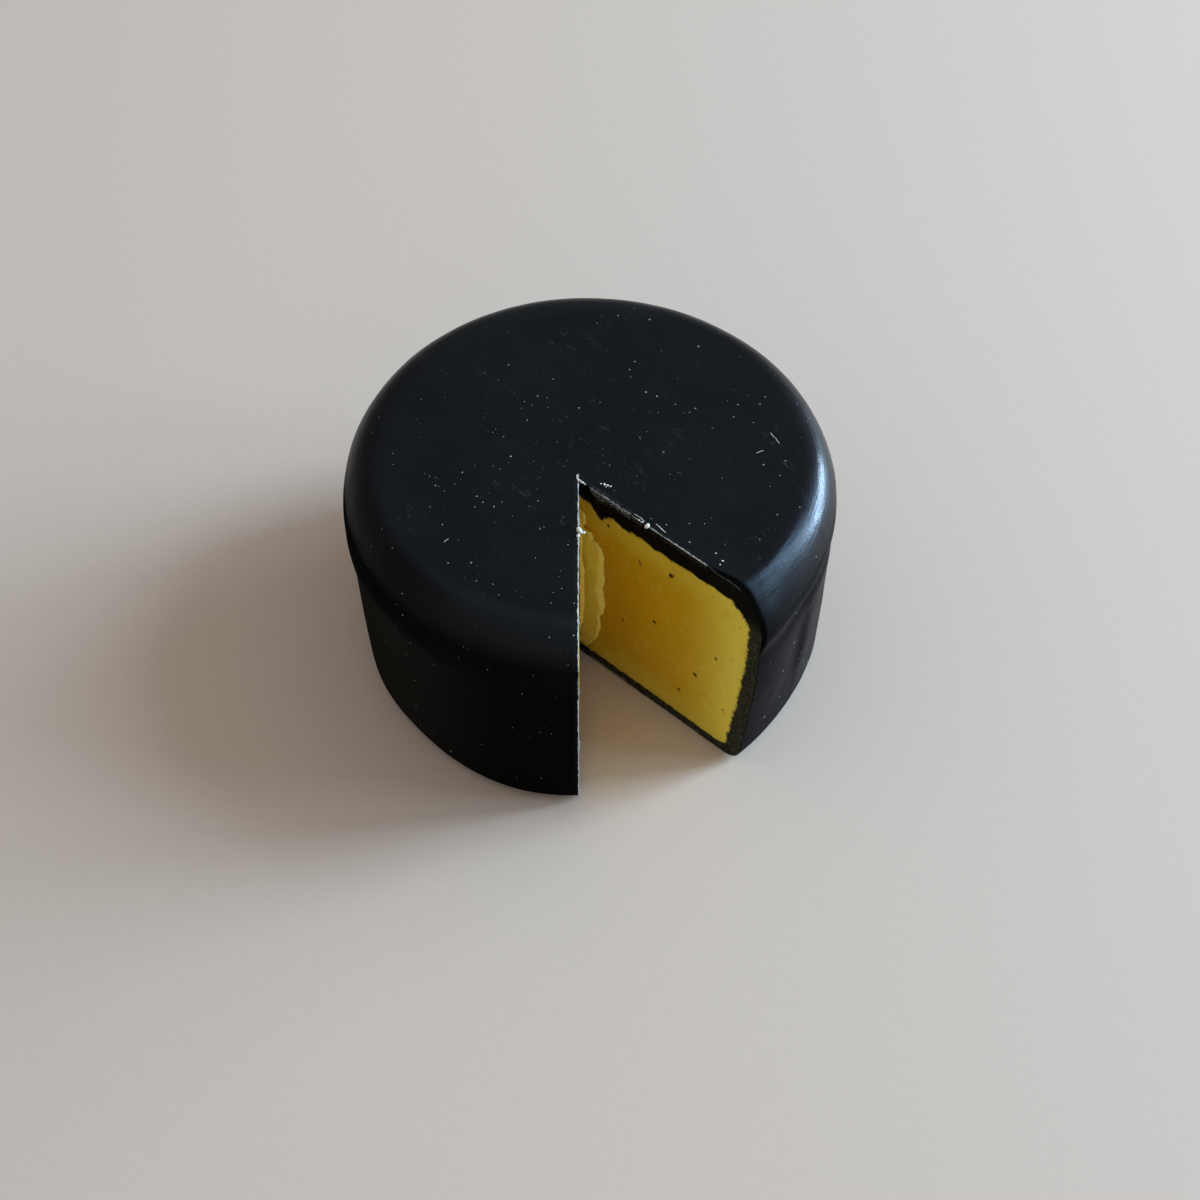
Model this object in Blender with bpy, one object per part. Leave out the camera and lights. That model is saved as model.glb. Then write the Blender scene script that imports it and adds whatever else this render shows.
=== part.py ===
"""A small black-waxed cheddar truckle with a wedge cut out of it.

Two solids: the coat of wax, an even skin all round, and the cheese that fills it. One notch is
cut through both, so each shows on the two cut faces. Metres, +Z up. The origin is the middle of
the base, on the axis of the round, and the notch opens towards -Y and +X.
"""

import math

import bmesh
import bpy
from mathutils import Vector

MM = 0.001

# The round, over its wax
RADIUS = 50.0 * MM          # widest, at the foot of the shoulder
HEIGHT = 51.5 * MM
SHOULDER_WIDE = 7.4 * MM    # how far the rounded shoulder reaches in over the top
SHOULDER_DEEP = 11.2 * MM   # and how far it comes down the side
CREASE_DROP = 15.5 * MM     # the wax tucks in under the shoulder, this far below the top
CREASE_IN = 0.6 * MM
CREASE_DEEPER = 0.8 * MM    # and tucks in further on the side where the notch opens
FOOT_IN = 2.2 * MM          # the side leans in towards its foot
FOOT_ROUND = 3.4 * MM
BASE_ASKEW = 0.6 * MM       # the base has slumped sideways from under the top, towards +X
FOOT_INSET = 0.4            # share of the side's inset by which the foot is rounded less

# Left by pressing and dipping: waves round the axis, as (how many, turned by, height in mm)
OFF_ROUND = ((3.0, 1.1, 0.12), (1.0, 0.0, -0.45), (2.0, 0.0, -0.22))
FLATS = ((7.0, -0.9, 0.42), (4.0, -2.4, 0.22))
SWELL = ((1.0, 0.8, 0.22), (2.0, -1.9, 0.18))
FLATS_FADE = (0.62, 0.80)   # shares of the height between which the flats fade out
SWELL_GROWS = (0.75, 0.95)  # and between which the top's swell grows
UNEVEN_GROWS = (0.55, 0.95)   # shares of the radius between which the side's unevenness grows
CREASE_HALF = 0.05          # half the crease's height, as a share of the round's
CREASE_DEEPEST = -0.5       # the turn at which it is deepest

# The side stands out next to the right cut, and the crease is shallower there
FLARE = 1.2 * MM
FLARE_AT = math.radians(-48.0)
FLARE_WIDE = math.radians(12.0)
FLARE_GROWS = (0.0, 0.5)    # shares of the height
FLARE_FADE = (0.84, 0.94)
FLARE_FILLS = 0.7

# The wax, and the hairline between it and the cheese
WAX_TOP = 4.1 * MM
WAX_SIDE = 3.1 * MM
WAX_BASE = 2.2 * MM
HAIRLINE = 0.3 * MM

# The notch: two knife cuts that meet short of the middle
NOTCH_APEX = Vector((-2.5 * MM, -6.3 * MM, 0.0))    # where they meet at the top
APEX_LEAN = 2.0 * MM        # how much nearer to the side they meet at the base
LEFT_CUT_TURN = math.radians(0.2)      # the cuts run out from there, turned from -Y towards +X
RIGHT_CUT_TURN = math.radians(48.1)
NOTCH_REACH = 75.0 * MM     # how far the cutter runs, well past the side
NOTCH_OVERRUN = 6.0 * MM    # and above the top and below the base

# Cheese that broke instead of cutting, in a strip next to where the cuts meet
BREAK_WIDTH = 5.2 * MM
BREAK_RAGGED = 1.5 * MM
BREAK_STANDS = 1.3 * MM
BREAK_SLOPE = 0.28          # stands out by no more than this times the distance from the apex
BREAK_WAVES = ((0.7, 0.33, 1.9, 0.0), (0.45, 0.87, 1.0, 0.6))  # share, per mm, by side, shift
BREAK_EDGE = (-0.5 * MM, 0.7 * MM)     # the broken cheese steps down to the cut one between these
LEDGE_WAVE = (0.35, 0.21, 0.8)         # share, per mm of height, shift
CHEESE_GROWS = (0.06, 0.12)            # shares of the height between which the relief grows
CHEESE_FADE = (0.84, 0.92)             # and fades out towards the wax

# Waves that the knife leaves
KNIFE_WAVES = 0.14 * MM
KNIFE_ALONG = 0.16 / MM
KNIFE_UP = 0.10 / MM
KNIFE_SHIFT = 1.1
KNIFE_GROWS = 8.0 * MM

TURNS = 60                  # segments round the truckle
SHOULDER_STEPS = 7
FOOT_STEPS = 4
TOP_RINGS = 4
SIDE_STEPS = 5
CUT_COLUMNS = 18
CUT_ROWS = 26
CUT_CLOSER = 1.7            # columns lie closer together towards the apex, by this power
SHARP_ANGLE = math.radians(35.0)
MERGE_GAP = 0.02 * MM


def smooth_step(low, high, value):
    """0 below low, 1 above high, and a smooth rise between them."""
    share = min(1.0, max(0.0, (value - low) / (high - low)))
    return share * share * (3.0 - 2.0 * share)


def arc(centre, wide, deep, start, end, steps):
    """Points on a quarter of an ellipse in the profile's plane, as (radius, height)."""
    angles = [start + (end - start) * i / steps for i in range(steps + 1)]
    return [(centre[0] + wide * math.cos(a), centre[1] + deep * math.sin(a)) for a in angles]


def straight(start, end, steps):
    """Points between two others, without either of them."""
    shares = [i / steps for i in range(1, steps)]
    return [(start[0] + (end[0] - start[0]) * s, start[1] + (end[1] - start[1]) * s) for s in shares]


def truckle_profile(side_in=0.0, top_in=0.0, base_in=0.0):
    """Half the round's outline from the middle of its base to the middle of its top.

    The three insets move the side, top and base inwards, for the cheese and for the room it fills.
    """
    top = HEIGHT - top_in
    foot_radius = RADIUS - FOOT_IN - side_in
    foot_round = FOOT_ROUND - FOOT_INSET * side_in
    crease = (RADIUS - CREASE_IN - side_in, HEIGHT - CREASE_DROP)
    shoulder_centre = (RADIUS - SHOULDER_WIDE, HEIGHT - SHOULDER_DEEP)
    foot = arc((foot_radius - foot_round, base_in + foot_round), foot_round, foot_round,
               -math.pi / 2, 0.0, FOOT_STEPS)
    shoulder = arc(shoulder_centre, SHOULDER_WIDE - side_in, SHOULDER_DEEP - top_in,
                   0.0, math.pi / 2, SHOULDER_STEPS)
    outline = [(0.0, base_in)]
    outline += straight(outline[0], foot[0], TOP_RINGS)
    outline += foot
    outline += straight(foot[-1], crease, SIDE_STEPS)
    outline += [crease]
    outline += shoulder
    outline += straight(shoulder[-1], (0.0, top), TOP_RINGS)
    outline += [(0.0, top)]
    return outline


def waves(table, turn):
    """The sum of a table's waves at a turn round the axis."""
    return sum(high * math.cos(count * turn - shift) for count, shift, high in table)


def hand_made(point):
    """Moves a point as pressing and dipping by hand leave it: a little off round and off level."""
    turn = math.atan2(point.y, point.x)
    reach = math.hypot(point.x, point.y) / RADIUS
    rise = point.z / HEIGHT
    flats = (1.0 - smooth_step(*FLATS_FADE, rise)) * waves(FLATS, turn)
    out = (waves(OFF_ROUND, turn) + flats) * MM
    crease = 1.0 - smooth_step(0.0, CREASE_HALF, abs(rise - 1.0 + CREASE_DROP / HEIGHT))
    facing = 0.5 + 0.5 * math.cos(turn - CREASE_DEEPEST)
    beside_cut = math.exp(-((turn - FLARE_AT) / FLARE_WIDE) ** 2)
    out -= CREASE_DEEPER * crease * facing * (1.0 - FLARE_FILLS * beside_cut)
    out += FLARE * beside_cut * smooth_step(*FLARE_GROWS, rise) * (1.0 - smooth_step(*FLARE_FADE, rise))
    away = Vector((math.cos(turn), math.sin(turn), 0.0)) * smooth_step(*UNEVEN_GROWS, reach)
    up = waves(SWELL, turn) * MM * reach * smooth_step(*SWELL_GROWS, rise)
    askew = BASE_ASKEW * (1.0 - rise)
    return point + away * out + Vector((askew, 0.0, up))


def principled(name, colour, roughness):
    """A plain Principled material."""
    material = bpy.data.materials.new(name)
    material.use_nodes = True
    shader = material.node_tree.nodes["Principled BSDF"]
    shader.inputs["Base Color"].default_value = (*colour, 1.0)
    shader.inputs["Roughness"].default_value = roughness
    shader.inputs["Metallic"].default_value = 0.0
    return material


def add_object(name, form, material=None):
    """Puts a finished bmesh in the scene as a smooth-shaded object."""
    bmesh.ops.recalc_face_normals(form, faces=form.faces)
    mesh = bpy.data.meshes.new(name)
    form.to_mesh(mesh)
    form.free()
    mesh.shade_smooth()
    mesh.set_sharp_from_angle(angle=SHARP_ANGLE)
    thing = bpy.data.objects.new(name, mesh)
    if material:
        mesh.materials.append(material)
    bpy.context.scene.collection.objects.link(thing)
    return thing


def turned(name, profile, material=None):
    """Spins a profile into a closed round, then makes it uneven."""
    form = bmesh.new()
    points = [form.verts.new((radius, 0.0, height)) for radius, height in profile]
    edges = [form.edges.new(pair) for pair in zip(points, points[1:])]
    bmesh.ops.spin(form, geom=points + edges, cent=(0, 0, 0), axis=(0, 0, 1),
                   angle=2.0 * math.pi, steps=TURNS, use_merge=True)
    bmesh.ops.remove_doubles(form, verts=form.verts, dist=MERGE_GAP)
    for vertex in form.verts:
        vertex.co = hand_made(vertex.co)
    return add_object(name, form, material)


def break_edge(height, side):
    """How far from the apex the broken strip of cheese reaches, at a height."""
    level = height / MM
    ragged = sum(share * math.sin(rate * level + swap * side + shift)
                 for share, rate, swap, shift in BREAK_WAVES)
    return BREAK_WIDTH + BREAK_RAGGED * ragged


def cut_relief(along, height, side):
    """How far the cheese stands out of a knife cut, at a distance from the apex and a height."""
    step = 1.0 - smooth_step(*BREAK_EDGE, along - break_edge(height, side))
    share, rate, shift = LEDGE_WAVE
    ledge = 1.0 + share * math.sin(rate * height / MM + shift + side)
    broken = min(BREAK_STANDS * ledge, BREAK_SLOPE * along) * step
    level = height / HEIGHT
    in_cheese = smooth_step(*CHEESE_GROWS, level) * (1.0 - smooth_step(*CHEESE_FADE, level))
    knife = math.sin(KNIFE_ALONG * along + KNIFE_SHIFT * side) * math.cos(KNIFE_UP * height + side)
    return in_cheese * (broken + KNIFE_WAVES * knife * smooth_step(0.0, KNIFE_GROWS, along))


def cut_face_points(side):
    """The points of one cut face, column by column from the apex; side is -1 for left, 1 for right."""
    turn = LEFT_CUT_TURN if side < 0 else RIGHT_CUT_TURN
    run = Vector((math.sin(turn), -math.cos(turn), 0.0))
    into_notch = Vector((math.cos(turn), math.sin(turn), 0.0)) * -side
    columns = []
    for column in range(CUT_COLUMNS + 1):
        along = NOTCH_REACH * (column / CUT_COLUMNS) ** CUT_CLOSER
        points = []
        for row in range(CUT_ROWS + 1):
            height = -NOTCH_OVERRUN + (HEIGHT + 2.0 * NOTCH_OVERRUN) * row / CUT_ROWS
            relief = cut_relief(along, height, side)
            apex = NOTCH_APEX + Vector((0.0, -APEX_LEAN * (1.0 - height / HEIGHT), height))
            points.append(apex + run * along + into_notch * relief)
        columns.append(points)
    return columns


def notch_cutter():
    """A wedge-shaped cutter whose two long faces carry the relief that the knife left."""
    form = bmesh.new()
    left = [[form.verts.new(p) for p in column] for column in cut_face_points(-1)]
    right = [left[0]] + [[form.verts.new(p) for p in column] for column in cut_face_points(1)[1:]]
    walls = [(left, c) for c in range(CUT_COLUMNS)] + [(right, c) for c in range(CUT_COLUMNS)]
    strips = [(face[c], face[c + 1]) for face, c in walls] + [(left[-1], right[-1])]
    for near, far in strips:
        for row in range(CUT_ROWS):
            form.faces.new((near[row], far[row], far[row + 1], near[row + 1]))
    for row in (0, -1):
        form.faces.new([column[row] for column in reversed(left)] + [column[row] for column in right[1:]])
    cutter = add_object("notch_cutter", form)
    return as_guide(cutter)


def as_guide(thing):
    """Keeps a cutter out of renders and drawn as wire."""
    thing.hide_render = True
    thing.display_type = "WIRE"
    return thing


def cut_away(thing, cutter):
    """Cuts one object with another, and leaves the modifier on it."""
    boolean = thing.modifiers.new(cutter.name, "BOOLEAN")
    boolean.operation = "DIFFERENCE"
    boolean.solver = "EXACT"
    boolean.object = cutter


def build():
    """The wax coat and the cheese, with the notch cut through both."""
    for old in list(bpy.data.objects):
        bpy.data.objects.remove(old)
    black_wax = principled("black_wax", (0.012, 0.013, 0.015), 0.38)
    cheddar = principled("cheddar", (0.76, 0.47, 0.09), 0.52)
    notch = notch_cutter()
    room = as_guide(turned("room_for_cheese", truckle_profile(WAX_SIDE, WAX_TOP, WAX_BASE)))
    coat = turned("wax_coat", truckle_profile(), black_wax)
    cut_away(coat, notch)
    cut_away(coat, room)
    cheese = turned("cheese_paste", truckle_profile(WAX_SIDE + HAIRLINE, WAX_TOP + HAIRLINE,
                                                    WAX_BASE + HAIRLINE), cheddar)
    cut_away(cheese, notch)


build()
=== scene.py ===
"""Looks of a small black-waxed cheddar truckle with a wedge cut out of it.

The CAD's two solids are replaced by a detailed coat of wax and a detailed body of cheese, in the
same places. Loose flakes, crumbs and torn wax along the knife cuts are pieces of their own.
Metres, +Z up, and the camera looks along +Y and down.
"""

import math

import bmesh
import bpy
import numpy as np
from mathutils import Euler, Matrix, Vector, noise

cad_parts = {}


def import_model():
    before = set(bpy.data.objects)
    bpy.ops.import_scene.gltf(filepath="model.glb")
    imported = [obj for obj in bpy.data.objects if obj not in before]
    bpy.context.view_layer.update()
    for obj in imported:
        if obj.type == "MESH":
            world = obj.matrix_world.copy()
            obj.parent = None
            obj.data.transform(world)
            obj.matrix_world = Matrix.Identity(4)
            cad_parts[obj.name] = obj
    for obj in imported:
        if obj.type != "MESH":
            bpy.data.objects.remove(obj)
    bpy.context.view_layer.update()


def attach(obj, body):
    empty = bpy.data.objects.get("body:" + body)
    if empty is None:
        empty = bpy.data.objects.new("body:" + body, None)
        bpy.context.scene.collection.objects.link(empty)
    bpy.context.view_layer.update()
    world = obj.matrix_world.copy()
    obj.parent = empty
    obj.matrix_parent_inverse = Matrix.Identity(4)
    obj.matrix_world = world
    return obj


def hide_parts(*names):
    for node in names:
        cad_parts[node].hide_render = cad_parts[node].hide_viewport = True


MM = 0.001

# The round, over its wax, as in the CAD
RADIUS = 50.0 * MM
HEIGHT = 51.5 * MM
SHOULDER_WIDE = 7.4 * MM
SHOULDER_DEEP = 11.2 * MM
CREASE_DROP = 15.5 * MM
CREASE_IN = 0.6 * MM
CREASE_DEEPER = 0.8 * MM
CREASE_FILLED = 0.45 * MM
CREASE_INSIDE = 0.18 * MM                 # the cheese's own crease, under the wax
CREASE_CURVE = 1.6
FOOT_IN = 2.2 * MM
FOOT_ROUND = 3.4 * MM
FOOT_INSET = 0.4                          # share of the side's inset by which the foot is rounded less
BASE_ASKEW = 0.6 * MM
WAX_TOP = 4.1 * MM
WAX_SIDE = 3.1 * MM
WAX_BASE = 2.2 * MM
SHOULDER_FOOT = HEIGHT - SHOULDER_DEEP
CREASE_AT = HEIGHT - CREASE_DROP

# Left by pressing and dipping: waves round the axis, as (how many, turned by, height in mm)
OFF_ROUND = ((3.0, 1.1, 0.12), (1.0, 0.0, -0.45), (2.0, 0.0, -0.22))
FLATS = ((7.0, -0.9, 0.42), (4.0, -2.4, 0.22))
SWELL = ((1.0, 0.8, 0.22), (2.0, -1.9, 0.18))
FLATS_FADE = (0.62, 0.80)                 # shares of the height between which the flats fade out
SWELL_GROWS = (0.75, 0.95)                # and between which the top's swell grows
UNEVEN_GROWS = (0.55, 0.95)               # shares of the radius
CREASE_HALF = 0.08                        # half the crease's height, as a share of the round's
CREASE_DEEPEST = -0.5                     # the turns at which it is deepest and most filled
CREASE_FULLEST = 0.6

# The notch: two knife cuts, turned from -Y towards +X, that meet at the apex
APEX = np.array([-2.5 * MM, -6.3 * MM])   # at the top
APEX_LEAN = 2.0 * MM                      # and this much nearer to the side at the base
LEFT_CUT_TURN = math.radians(0.2)
RIGHT_CUT_TURN = math.radians(48.1)
FULL_TURN = 2.0 * math.pi

# The side stands out beside the right cut
FLARE = 1.2 * MM
FLARE_AT = math.radians(-48.0)
FLARE_WIDE = math.radians(12.0)
FLARE_GROWS = (0.0, 0.5)                  # shares of the height
FLARE_FADE = (0.84, 0.94)
FLARE_FILLS = 0.7                         # how much of the crease it fills

# How finely the coat and the cheese are made
FLAT_RINGS = 48
FOOT_STEPS = 10
SIDE_STEPS = 26
TUCK_STEPS = 8
SHOULDER_STEPS = 20
BAND_STEPS = 9
COARSE_TURNS = 250
EDGE_DEGREES = (0.0, 0.1, 0.25, 0.45, 0.7, 1.0, 1.35, 1.75, 2.2, 2.7, 3.3, 4.0)
FACE_ACROSS = 190
FACE_UP = 190
HIDDEN_TURNS = 40
RING_CLOSER = 0.9                         # rings lie a little closer together towards the rim
CREASE_UNDER_WAX = 0.2                    # share of the crease that the hidden faces follow
REFITS = 4                                # rounds in which a column's reach is worked out

# Seen by the camera
CAMERA_DISTANCE = 10.738 * RADIUS
CAMERA_RISE = math.radians(51.132)
CAMERA_TIP = math.radians(50.705)
CAMERA_YAW = math.radians(0.326)
CAMERA_ROLL = math.radians(0.36)
CAMERA_LENS = 75.0
CAMERA_SENSOR = 36.0


# Small numeric helpers


def smooth_step(low, high, value):
    """0 below low, 1 above high, and a smooth rise between them."""
    share = np.clip((value - low) / (high - low), 0.0, 1.0)
    return share * share * (3.0 - 2.0 * share)


def bump(centre, half_width, value):
    """1 at the centre, falling smoothly to 0 at half_width away."""
    return 1.0 - smooth_step(0.0, 1.0, np.abs(value - centre) / half_width)


def noise_field(points, size, shift=(0.0, 0.0, 0.0), octaves=1, rough=0.5):
    """Smooth noise, about -1 to 1, at an array of points, with features of a size in metres."""
    flat = points.reshape(-1, 3) / size + np.asarray(shift)
    if octaves == 1:
        values = [noise.noise(p) for p in flat]
    else:
        values = [noise.fractal(p, 1.0 / rough - 1.0, 2.0, octaves) for p in flat]
    return np.array(values).reshape(points.shape[:-1])


def rough_field(points, layers):
    """The sum of noise layers, as (height in mm, size in mm, shift, octaves), in mm."""
    return sum(high * noise_field(points, size * MM, shift, octaves)
               for high, size, shift, octaves in layers)


# The form of the round


def waves(table, turn):
    """The sum of a table's waves at turns round the axis, in metres."""
    return sum(high * np.cos(count * turn - shift) for count, shift, high in table) * MM


def unevenness(turn, reach, rise, crease=1.0):
    """How far out of round the pressed and dipped truckle is, with a share of its crease."""
    out = waves(OFF_ROUND, turn) + (1.0 - smooth_step(*FLATS_FADE, rise)) * waves(FLATS, turn)
    tucked = bump(1.0 - CREASE_DROP / HEIGHT, CREASE_HALF, rise)
    beside_cut = np.exp(-((turn - FLARE_AT) / FLARE_WIDE) ** 2)
    deeper = CREASE_DEEPER * (0.5 + 0.5 * np.cos(turn - CREASE_DEEPEST)) ** 3
    filled = CREASE_FILLED * (0.5 - 0.5 * np.cos(turn - CREASE_FULLEST)) ** 2
    out = out + crease * (filled - deeper * (1.0 - FLARE_FILLS * beside_cut)) * tucked
    flare = smooth_step(*FLARE_GROWS, rise) * (1.0 - smooth_step(*FLARE_FADE, rise))
    return (out + FLARE * beside_cut * flare) * smooth_step(*UNEVEN_GROWS, reach)


def swell(turn, reach, rise):
    """How far off level the top is."""
    return waves(SWELL, turn) * reach * smooth_step(*SWELL_GROWS, rise)


def rim_profile(side_in=0.0, top_in=0.0, base_in=0.0):
    """The round's outline from the edge of its flat base to the edge of its flat top."""
    foot_radius = RADIUS - FOOT_IN - side_in
    foot_round = FOOT_ROUND - FOOT_INSET * side_in
    tuck = CREASE_IN if side_in == 0.0 else CREASE_INSIDE
    crease = (RADIUS - tuck - side_in, CREASE_AT)
    waist = (RADIUS - side_in, SHOULDER_FOOT)
    points = []
    for i in range(FOOT_STEPS + 1):
        angle = -math.pi / 2 + math.pi / 2 * i / FOOT_STEPS
        points.append((foot_radius - foot_round + foot_round * math.cos(angle),
                       base_in + foot_round + foot_round * math.sin(angle)))
    foot_top = points[-1]
    for i in range(1, SIDE_STEPS):
        share = i / SIDE_STEPS
        points.append((foot_top[0] + (crease[0] - foot_top[0]) * share,
                       foot_top[1] + (crease[1] - foot_top[1]) * share))
    for i in range(TUCK_STEPS):
        share = 1.0 - i / TUCK_STEPS
        points.append((waist[0] - tuck * share ** CREASE_CURVE,
                       waist[1] - (CREASE_DROP - SHOULDER_DEEP) * share))
    for i in range(SHOULDER_STEPS + 1):
        angle = math.pi / 2 * i / SHOULDER_STEPS
        points.append((RADIUS - SHOULDER_WIDE + (SHOULDER_WIDE - side_in) * math.cos(angle),
                       SHOULDER_FOOT + (SHOULDER_DEEP - top_in) * math.sin(angle)))
    return np.array(points)


def plan_reach(turns, radius, height, crease):
    """How far from the apex, along each direction in plan, the uneven round has each radius."""
    run_x, run_y = np.sin(turns)[:, None], -np.cos(turns)[:, None]
    off_x = APEX[0] - BASE_ASKEW * (1.0 - height[None] / HEIGHT)
    off_y = APEX[1] - APEX_LEAN * (1.0 - height[None] / HEIGHT)
    along = off_x * run_x + off_y * run_y
    grown = radius[None] + 0.0 * along
    for _ in range(REFITS):
        far = -along + np.sqrt(along ** 2 - off_x ** 2 - off_y ** 2 + grown ** 2)
        turn = np.arctan2(off_y + far * run_y, off_x + far * run_x)
        grown = radius[None] + unevenness(turn, radius[None] / RADIUS, height[None] / HEIGHT, crease)
    return far


def flat_shares(rings):
    """Where the rings of a flat base or top lie, as shares of the way from the apex to its edge."""
    return (np.arange(rings) / rings) ** RING_CLOSER


def shell(turns, rings, side_in=0.0, top_in=0.0, base_in=0.0):
    """A grid of points: a column for each direction from the apex, from the base's middle round
    the rim to the top's middle."""
    rim = rim_profile(side_in, top_in, base_in)
    far = plan_reach(turns, rim[:, 0], rim[:, 1], 1.0 if side_in == 0.0 else CREASE_UNDER_WAX)
    shares = flat_shares(rings)
    reach = np.concatenate([far[:, :1] * shares, far, far[:, -1:] * shares[::-1]], axis=1)
    height = np.concatenate([np.full(rings, base_in), rim[:, 1], np.full(rings, HEIGHT - top_in)])
    height = np.repeat(height[None], len(turns), axis=0)
    x = APEX[0] + reach * np.sin(turns)[:, None]
    y = APEX[1] - APEX_LEAN * (1.0 - height / HEIGHT) - reach * np.cos(turns)[:, None]
    turn, share = np.arctan2(y, x), np.hypot(x, y) / RADIUS
    height = height + swell(turn, share, height / HEIGHT)
    return np.stack([x, y, height], axis=-1)


def grid_normals(points):
    """Unit normals of a shell's grid, pointing out of the round."""
    normals = np.cross(np.gradient(points, axis=0), np.gradient(points, axis=1))
    length = np.linalg.norm(normals, axis=-1, keepdims=True)
    normals = np.where(length > 1e-12, normals / np.maximum(length, 1e-12), 0.0)
    normals[:, 0], normals[:, -1] = (0.0, 0.0, -1.0), (0.0, 0.0, 1.0)
    middle = len(points) // 2, -4
    return normals if normals[middle][2] > 0.0 else -normals


def from_apex(points):
    """Where points are in plan, seen from the line on which the two cuts meet."""
    lean = APEX_LEAN * (1.0 - points[..., 2] / HEIGHT)
    return points[..., :2] - APEX + lean[..., None] * np.array([0.0, 1.0])


def reach_of(points):
    """How far points are in plan from the line on which the two cuts meet."""
    return np.linalg.norm(from_apex(points), axis=-1)


def cut_distances(points):
    """How far points are from the planes of the right and the left cut, and how far along them."""
    away = from_apex(points)
    found = []
    for turn, side in ((RIGHT_CUT_TURN, 1.0), (LEFT_CUT_TURN, -1.0)):
        run = np.array([math.sin(turn), -math.cos(turn)])
        across = side * (away[..., 0] * math.cos(turn) + away[..., 1] * math.sin(turn))
        along = away @ run
        found.append((across, along))
    return found


# Relief of the wax: layers of noise as (height, size, shift, octaves), lengths in mm

NO_SHIFT = (0.0, 0.0, 0.0)
SKIN_WAVES = ((0.10, 14.0, NO_SHIFT, 1), (0.035, 4.0, (3, 1, 7), 1))
SIDE_WAVES = ((0.16, 9.0, (5, 5, 1), 1),)
SIDE_STRETCH = (1, 1, 0.6)    # the side's waves are longer upwards
SIDE_FACING = (0.5, 0.9)      # how far a face turns from level before it counts as the side
SMEAR_RAGGED = ((0.14, 2.4, (2, 9, 4), 1), (0.20, 0.9, NO_SHIFT, 1))
SMEAR_HIGH = (0.80, 0.88)     # shares of the height
BAND_ROLLED = 0.06            # how far the knife rolled the middle of the band in
FOLD_STEEP = 2.2
FOLD_FADE = 0.175
KNIFE_ROUND = 0.16 * MM       # the knife rounds off the wax's edge
KNIFE_DEEP = 0.6
KNIFE_BLUNT = 0.97
PRESSED_DEEP = 0.35 * MM      # wax that the knife pressed down at the right cut's shoulder
PRESSED_WIDE = 1.5 * MM
PRESSED_FROM = 34.5 * MM
PRESSED_TO = 51.0 * MM
PRESSED_HIGH = (0.68, 0.80)   # shares of the height
PRESSED_BLUNT = 0.6
PRESSED_STEEP = 1.3
SMEARED = (                   # reach from the apex, and how far wax is dragged over the cheese, in mm
    (0.4, 0.5), (1.2, 0.8), (2.0, 0.0), (3.0, -0.1), (4.1, 1.5), (4.9, 2.3), (5.7, 2.9), (6.8, 1.7),
    (7.8, 0.9), (8.9, 0.4), (10.5, 0.7), (12.0, 1.0), (14.4, 0.7), (17.5, 0.7), (19.4, 1.3),
    (21.4, 0.9), (26.6, 1.1), (29.1, 0.6), (32.2, 1.1), (34.2, 0.7), (40.2, 1.0), (42.2, 1.2),
    (45.0, 0.7),
)
FOLDS = (                     # turn in degrees, height share, slope, half length, width, depth in mm
    (-131.0, 0.36, 30.0, 0.30, 2.2, 0.28),
    (-118.0, 0.28, -16.0, 0.24, 2.8, 0.22),
    (-28.0, 0.40, 5.0, 0.34, 2.4, 0.30),
    (-12.0, 0.30, -14.0, 0.26, 3.0, 0.20),
    (38.0, 0.34, 20.0, 0.30, 2.6, 0.24),
    (88.0, 0.40, -18.0, 0.26, 2.4, 0.22),
    (141.0, 0.32, 14.0, 0.30, 2.8, 0.26),
    (176.0, 0.38, -24.0, 0.28, 2.4, 0.24),
)


def wax_relief(points, normals):
    """The wax's undulations, folds and pressed edges, as a distance along the normal."""
    turn = np.degrees(np.arctan2(points[..., 1], points[..., 0]))
    rise = points[..., 2] / HEIGHT
    side = smooth_step(*SIDE_FACING, 1.0 - np.abs(normals[..., 2]))
    relief = rough_field(points, SKIN_WAVES) + side * rough_field(points * SIDE_STRETCH, SIDE_WAVES)
    for at, high, slope, half, wide, deep in FOLDS:
        across = (turn - at + 180.0) % 360.0 - 180.0 - slope * (rise - high)
        fold = across * math.radians(1.0) * RADIUS / MM / wide
        step = np.tanh(FOLD_STEEP * fold) * np.exp(-FOLD_FADE * fold ** 2)
        relief += deep * step * bump(high, half, rise) * side
    relief = relief * MM - PRESSED_DEEP * pressed_share(points)
    for across, along in cut_distances(points):
        near = np.clip(1.0 - np.abs(across) / KNIFE_ROUND, 0.0, 1.0) * (along > 0.0)
        relief -= KNIFE_ROUND * KNIFE_DEEP * (1.0 - np.sqrt(1.0 - KNIFE_BLUNT * near ** 2))
    return relief


def pressed_share(points):
    """Where the knife pressed the wax down beside the right cut: 1 at the cut, 0 outside."""
    across, along = cut_distances(points)[0]
    above = smooth_step(*PRESSED_HIGH, points[..., 2] / HEIGHT)
    share = np.clip((along - PRESSED_FROM) / (PRESSED_TO - PRESSED_FROM), 0.0, 1.0)
    wide = PRESSED_WIDE * np.sin(np.pi * share) ** PRESSED_BLUNT
    inside = np.clip(1.0 - np.abs(across) / np.maximum(wide, 1e-9), 0.0, 1.0)
    return above * np.minimum(1.0, PRESSED_STEEP * inside) * (along > 0.0)


def smear(points):
    """How far the knife dragged wax in over the cheese, at points round the edge of a cut."""
    reach, wide = np.array(SMEARED).T
    ragged = rough_field(points, SMEAR_RAGGED)
    top = smooth_step(*SMEAR_HIGH, points[..., 2] / HEIGHT)
    return ((np.interp(reach_of(points) / MM, reach, wide) + ragged) * top + 0.5 * ragged) * MM


# Relief of the cheese

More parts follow.
